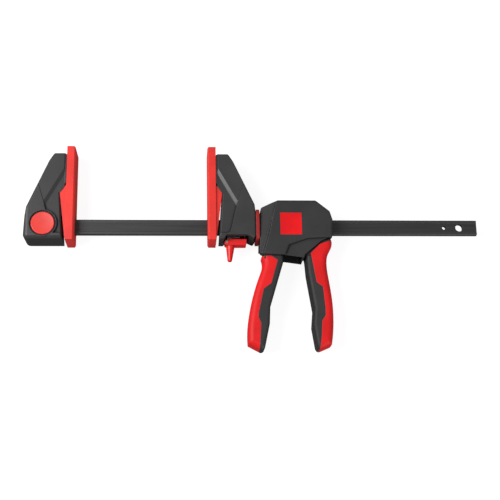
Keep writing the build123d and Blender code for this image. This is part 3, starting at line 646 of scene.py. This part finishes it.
class CLAMP_OT_mouldings(ClampOperator, bpy.types.Operator):
    """Finish the black mouldings: both heads, the housing, the trigger and the bush"""

    bl_idname = "clamp.mouldings"
    bl_label = "Finish the black mouldings"

    def execute(self, context):
        colours = settings("clamp_colours")
        black, edge = colours.black, colours.edge
        nylon = moulded_plastic(
            "black_nylon", black, roughness=0.42, edge=edge, painted_side_shade=0.7, hollows=STRONG_HOLLOWS
        )
        dress(nylon, "fixed_head_body", "trigger_lever", "rear_guide_bush")
        # The moving jaw's black is painted 1.35 times paler than the fixed head's, painted light
        # that brightens that head, and its edges get more painted highlight.
        jaw = moulded_plastic(
            "jaw_black", shade(black, 1.35), roughness=0.42, edge=edge, rub_and_highlight=0.12, painted_side_shade=0.75,
            hollows=STRONG_HOLLOWS,
        )
        dress(jaw, "moving_jaw_body")
        # The shell's edges are paled strongly: wear, and a painted highlight along its edges and
        # ridge lines.
        shell = moulded_plastic(
            "shell_black", shade(black, 1.25), roughness=0.60, edge=edge * 1.4, rub_and_highlight=0.30,
            painted_side_shade=0.6, hollows=STRONG_HOLLOWS, Specular_IOR_Level=0.35,
        )
        dress(shell, "housing_shell_near", "housing_shell_far")
        return {"FINISHED"}


class CLAMP_OT_lips(ClampOperator, bpy.types.Operator):
    """Fit the rounded lips with which each head backs its pressure pad"""

    bl_idname = "clamp.lips"
    bl_label = "Fit the head lips"

    def execute(self, context):
        sizes = settings("clamp_lips")
        for head, way, black in (
            ("fixed_head_body", 1, "black_nylon"), ("moving_jaw_body", -1, "jaw_black"),
        ):
            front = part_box(head)[1 if way > 0 else 0][0]
            mesh = bmesh.new()
            for side in (-1, 1):
                low = Vector((front - way * sizes.rooted, sizes.foot, side * sizes.inner))
                high = Vector((front + way * sizes.proud, sizes.top, side * sizes.outer))
                verts = bmesh.ops.create_cube(mesh, size=1.0)["verts"]
                spans = [abs(high[i] - low[i]) for i in range(3)]
                bmesh.ops.scale(mesh, vec=spans, verts=verts)
                bmesh.ops.translate(mesh, vec=(low + high) / 2, verts=verts)
            bmesh.ops.bevel(
                mesh, geom=mesh.edges[:], offset=sizes.rounding, segments=3, profile=0.5,
                affect="EDGES",
            )
            data = bpy.data.meshes.new(head + "_lips")
            mesh.to_mesh(data)
            mesh.free()
            data.materials.append(bpy.data.materials[black])
            lips = show(head + "_lips", data)
            smooth(lips, degrees=40)
            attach(lips, body_of(head))
        return {"FINISHED"}


class CLAMP_OT_red_parts(ClampOperator, bpy.types.Operator):
    """Finish the hard red parts: lock button, release lever, swivel ring and label panel"""

    bl_idname = "clamp.red_parts"
    bl_label = "Finish the red parts"

    def execute(self, context):
        colours = settings("clamp_colours")
        edge = colours.edge
        lever = moulded_plastic(
            "red_nylon", colours.red, roughness=0.34, edge=edge * 0.8, grain=FINE_GRAIN
        )
        dress(lever, "release_lever")
        # The ring is finished in its darker red, painted shade.
        ring = moulded_plastic(
            "ring_red", colours.ring, roughness=0.45, edge=edge * 0.6, grain=FINE_GRAIN
        )
        dress(ring, "swivel_ring")
        button = moulded_plastic(
            "button_red", colours.button, roughness=0.36, edge=edge * 0.8, grain=FINE_GRAIN
        )
        dress(button, "lock_button")
        label = moulded_plastic(
            "label_red", colours.label, roughness=0.58, edge=edge * 0.3, grain=FINEST_GRAIN,
            Specular_IOR_Level=0.2,
        )
        dress(label, "label_plate")
        return {"FINISHED"}


class CLAMP_OT_soft_parts(ClampOperator, bpy.types.Operator):
    """Finish the pressure pads and the two soft grips"""

    bl_idname = "clamp.soft_parts"
    bl_label = "Finish the pads and grips"

    def execute(self, context):
        colours = settings("clamp_colours")
        pad = soft_rubber("red_pad", colours.pad, roughness=0.42, edge=colours.edge)
        dress(pad, "fixed_pad", "moving_pad")
        grip = soft_rubber(
            "red_grip", colours.grip, roughness=0.52, edge=colours.edge * 1.4,
            Specular_IOR_Level=0.3,
        )
        dress(grip, "rear_grip", "trigger_grip")
        return {"FINISHED"}


class CLAMP_OT_steel_parts(ClampOperator, bpy.types.Operator):
    """Finish the steel pins, plates, collar and circlip"""

    bl_idname = "clamp.steel_parts"
    bl_label = "Finish the steel parts"

    def execute(self, context):
        plated = plain_metal("plated_steel", settings("clamp_colours").steel, roughness=0.30)
        dress(plated, "lock_yoke", "lock_pin", "release_lever_pin", "trigger_pin")
        hardened = plain_metal("hardened_steel", HARDENED_STEEL, roughness=0.38)
        dress(
            hardened, "brake_plate", "thrust_collar", "drive_plate_front", "drive_plate_rear",
            "swivel_circlip",
        )
        return {"FINISHED"}


class CLAMP_OT_springs(ClampOperator, bpy.types.Operator):
    """Wind the three coil springs"""

    bl_idname = "clamp.springs"
    bl_label = "Wind the springs"

    def execute(self, context):
        sizes = settings("clamp_spring")
        wire, drive_turns = sizes.wire, float(sizes.turns)
        metal = plain_metal("spring_wire", SPRING_STEEL, roughness=0.28, grain=0.0008)
        recipe = self.coil(metal)
        # The spring tube, the number of its axis, its turns and wire, the joint that shortens it,
        # and which end of it, low or high, stays where it is.
        for node, along, turns, gauge, joint, seat in (
            ("drive_spring", 0, drive_turns, wire, "drive_advance", 1),
            ("brake_spring", 0, 3.0, wire * 0.9, None, 0),
            ("lock_spring", 2, 3.0, wire * 0.75, "lock_press", 0),
        ):
            low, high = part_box(node)
            middle, size = (Vector(low) + Vector(high)) / 2, Vector(high) - Vector(low)
            across = max(size[i] for i in range(3) if i != along)
            reach = size[along] - COIL_END * gauge
            piece = recipe.make(
                node + "_wire", bpy.data.meshes.new(node + "_base"), metal,
                Turns=turns, Radius=(across - gauge) / 2, Wire=gauge, Length=reach,
            )
            turn = Matrix.Identity(4)
            if along == 0:
                turn = Matrix.Rotation(math.radians(90), 4, "Y")
            start = Vector(middle)
            start[along] -= reach / 2
            place_in_mesh(piece, Matrix.Translation(start) @ turn)
            smooth(piece, degrees=60)
            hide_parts(node)
            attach(piece, body_of(node))
            if joint:
                anchor = Vector(middle)
                anchor[along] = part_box(node)[seat][along]
                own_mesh(piece)
        return {"FINISHED"}

    def coil(self, metal):
        """The tree that winds round wire upwards from the origin."""
        recipe = Recipe("coil_spring", Turns=5.0, Radius=0.01, Wire=0.001, Length=0.03)
        radius = recipe.value("Radius")
        spiral = recipe.node(
            "GeometryNodeCurveSpiral", Resolution=COIL_STEPS, Rotations=recipe.value("Turns"),
            Start_Radius=radius, End_Radius=radius, Height=recipe.value("Length"),
        )
        half = recipe.node("ShaderNodeMath", {"operation": "MULTIPLY"})
        recipe.feed(half.inputs[0], recipe.value("Wire"))
        recipe.feed(half.inputs[1], 0.5)
        section = recipe.node(
            "GeometryNodeCurvePrimitiveCircle", Resolution=WIRE_SIDES, Radius=half.outputs[0]
        )
        tube = recipe.node(
            "GeometryNodeCurveToMesh", Curve=spiral.outputs[0],
            Profile_Curve=section.outputs[0], Fill_Caps=True,
        )
        recipe.finish(tube.outputs[0], metal)
        return recipe


class CLAMP_OT_screws(ClampOperator, bpy.types.Operator):
    """Set cross-head screws in the far shell"""

    bl_idname = "clamp.screws"
    bl_label = "Set the screws"

    def execute(self, context):
        sizes = settings("clamp_screw")
        plated = plain_metal("plated_screw", settings("clamp_colours").steel, roughness=0.32)
        boxes = islands("housing_screws")
        radius = (boxes[0][1].x - boxes[0][0].x) / 2
        places = [
            ((low.x + high.x) / 2, (low.y + high.y) / 2, low.z + sizes.head)
            for low, high in boxes
        ]
        seats = bpy.data.meshes.new("screw_seats")
        seats.from_pydata(places, [], [])
        recipe = self.cross_heads(radius, sizes.head, sizes.slot, plated)
        screws = recipe.make("shell_screws", seats, plated)
        smooth(screws, degrees=35)
        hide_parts("housing_screws")
        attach(screws, body_of("housing_screws"))
        return {"FINISHED"}

    def cross_heads(self, radius, head, slot, metal):
        """The tree that sets a screw on each point, with its head downwards."""
        arm = radius * CROSS_SHARE
        recipe = Recipe(
            "cross_head_screws", Radius=radius, Top_Radius=radius * HEAD_TAPER, Head=head,
            Shank_Radius=radius * SHANK_SHARE, Shank_Length=head * SHANK_HEADS,
            Sink=(0.0, 0.0, -head), Lift=(0.0, 0.0, head),
            Long_Arm=(arm, slot, head), Cross_Arm=(slot, arm, head),
        )
        cone = recipe.node(
            "GeometryNodeMeshCone", Vertices=HEAD_SIDES, Radius_Top=recipe.value("Top_Radius"),
            Radius_Bottom=recipe.value("Radius"), Depth=recipe.value("Head"),
        )
        shank = recipe.node(
            "GeometryNodeMeshCylinder", Vertices=SHANK_SIDES,
            Radius=recipe.value("Shank_Radius"), Depth=recipe.value("Shank_Length"),
        )
        sunk = recipe.node(
            "GeometryNodeTransform", Geometry=shank.outputs[0], Translation=recipe.value("Sink")
        )
        cut = recipe.node(
            "GeometryNodeMeshBoolean", {"operation": "DIFFERENCE", "solver": "EXACT"},
            Mesh_1=cone.outputs[0],
        )
        for size in ("Long_Arm", "Cross_Arm"):
            cube = recipe.node("GeometryNodeMeshCube", Size=recipe.value(size))
            moved = recipe.node(
                "GeometryNodeTransform", Geometry=cube.outputs[0],
                Translation=recipe.value("Lift"),
            )
            recipe.feed(cut.inputs["Mesh 2"], moved.outputs[0])
        whole = recipe.node("GeometryNodeJoinGeometry")
        recipe.feed(whole.inputs[0], cut.outputs[0])
        recipe.feed(whole.inputs[0], sunk.outputs[0])
        points = recipe.node("GeometryNodeMeshToPoints", Mesh=recipe.value("Geometry"))
        spread = recipe.node(
            "GeometryNodeInstanceOnPoints", Points=points.outputs[0],
            Instance=whole.outputs[0], Rotation=(math.pi, 0.0, SCREW_TURN),
        )
        recipe.finish(spread.outputs[0], metal)
        return recipe


class CLAMP_OT_stage(ClampOperator, bpy.types.Operator):
    """Lay the white ground, set the lamps and the camera"""

    bl_idname = "clamp.stage"
    bl_label = "Set the stage"

    def execute(self, context):
        sizes = settings("clamp_stage")
        self.lay_ground(sizes)
        self.set_sky(sizes)
        self.set_lamps(sizes)
        self.set_camera(context.scene)
        context.scene.view_settings.view_transform = "Standard"
        return {"FINISHED"}

    def lay_ground(self, sizes):
        corners = [
            (x * GROUND_HALF, y * GROUND_HALF, FLOOR_HEIGHT)
            for x, y in ((-1, -1), (1, -1), (1, 1), (-1, 1))
        ]
        mesh = bpy.data.meshes.new("ground")
        mesh.from_pydata(corners, [], [(0, 1, 2, 3)])
        mesh.materials.append(
            white_ground("white_ground", sizes.ground, sizes.lift, sizes.mirrored_ground)
        )
        ground = show("ground", mesh)

    def set_sky(self, sizes):
        """An even light, with one level from above and one from the sides.

        The camera sees it white, and mirrors and glass see it pale."""
        world = bpy.data.worlds.new("studio")
        bpy.context.scene.world = world
        sky = Shading(world, "OutputWorld")
        place = sky.node("TexCoord").outputs["Generated"]
        height = Number(sky, sky.node("SeparateXYZ", Vector=place).outputs["Z"])
        seen, mirrored = sky.rays()
        lit = sizes.horizon + (sizes.overhead - sizes.horizon) * height.step(*SKY_BLEND)
        white = seen + sizes.mirrored * mirrored
        strength = lit * (1 - seen - mirrored).at_least(0.0) + white
        glow = sky.node("Background", Color=paint(WHITE), Strength=strength)
        sky.feed(sky.output.inputs["Surface"], glow.outputs[0])

    def set_lamps(self, sizes):
        for name, energy, size, place in (
            ("key", sizes.key, KEY_SIZE, KEY_PLACE),
            ("front", sizes.front, FRONT_SIZE, FRONT_PLACE),
        ):
            lamp = bpy.data.lights.new(name, "AREA")
            lamp.energy, lamp.size = energy, size
            holder = show(name, lamp)
            holder.location = place
            aim = LAMP_AIM - Vector(place)
            holder.rotation_mode = "QUATERNION"
            holder.rotation_quaternion = aim.to_track_quat("-Z", "Y")

    def set_camera(self, scene):
        camera = show("camera", bpy.data.cameras.new("camera"))
        axes = Matrix((CAMERA_RIGHT, -CAMERA_DOWN, -CAMERA_AHEAD))
        camera.matrix_world = Matrix.Translation(CAMERA_EYE) @ axes.transposed().to_4x4()
        camera.data.sensor_fit = "HORIZONTAL"
        camera.data.sensor_width = SENSOR_MM
        camera.data.lens = SENSOR_MM * FOCAL_PIXELS / PICTURE_PIXELS
        scene.camera = camera


class CLAMP_PT_panel(bpy.types.Panel):
    """Lists the clamp's operators and sizes"""

    bl_idname = "CLAMP_PT_panel"
    bl_label = "Bar clamp"
    bl_space_type = "VIEW_3D"
    bl_region_type = "UI"
    bl_category = "Clamp"

    def draw(self, context):
        for operator in OPERATORS:
            self.layout.operator(operator.bl_idname)
        for name in GROUPS:
            box = self.layout.box()
            group = getattr(context.scene, name)
            for key in GROUPS[name].__annotations__:
                box.prop(group, key)


GROUPS = {
    "clamp_colours": ColourSettings,
    "clamp_lips": LipSettings,
    "clamp_spring": SpringSettings,
    "clamp_screw": ScrewSettings,
    "clamp_stage": StageSettings,
}
OPERATORS = (
    CLAMP_OT_bar, CLAMP_OT_mouldings, CLAMP_OT_lips, CLAMP_OT_red_parts, CLAMP_OT_soft_parts,
    CLAMP_OT_steel_parts, CLAMP_OT_springs, CLAMP_OT_screws, CLAMP_OT_stage,
)
CLASSES = (*GROUPS.values(), *OPERATORS, CLAMP_PT_panel)


def register():
    for cls in CLASSES:
        bpy.utils.register_class(cls)
    for name, group in GROUPS.items():
        setattr(bpy.types.Scene, name, PointerProperty(type=group))


def unregister():
    for name in GROUPS:
        delattr(bpy.types.Scene, name)
    for cls in reversed(CLASSES):
        bpy.utils.unregister_class(cls)


def main():
    register()
    for operator in OPERATORS:
        group, name = operator.bl_idname.split(".")
        getattr(getattr(bpy.ops, group), name)()


if __name__ == "__main__":
    main()
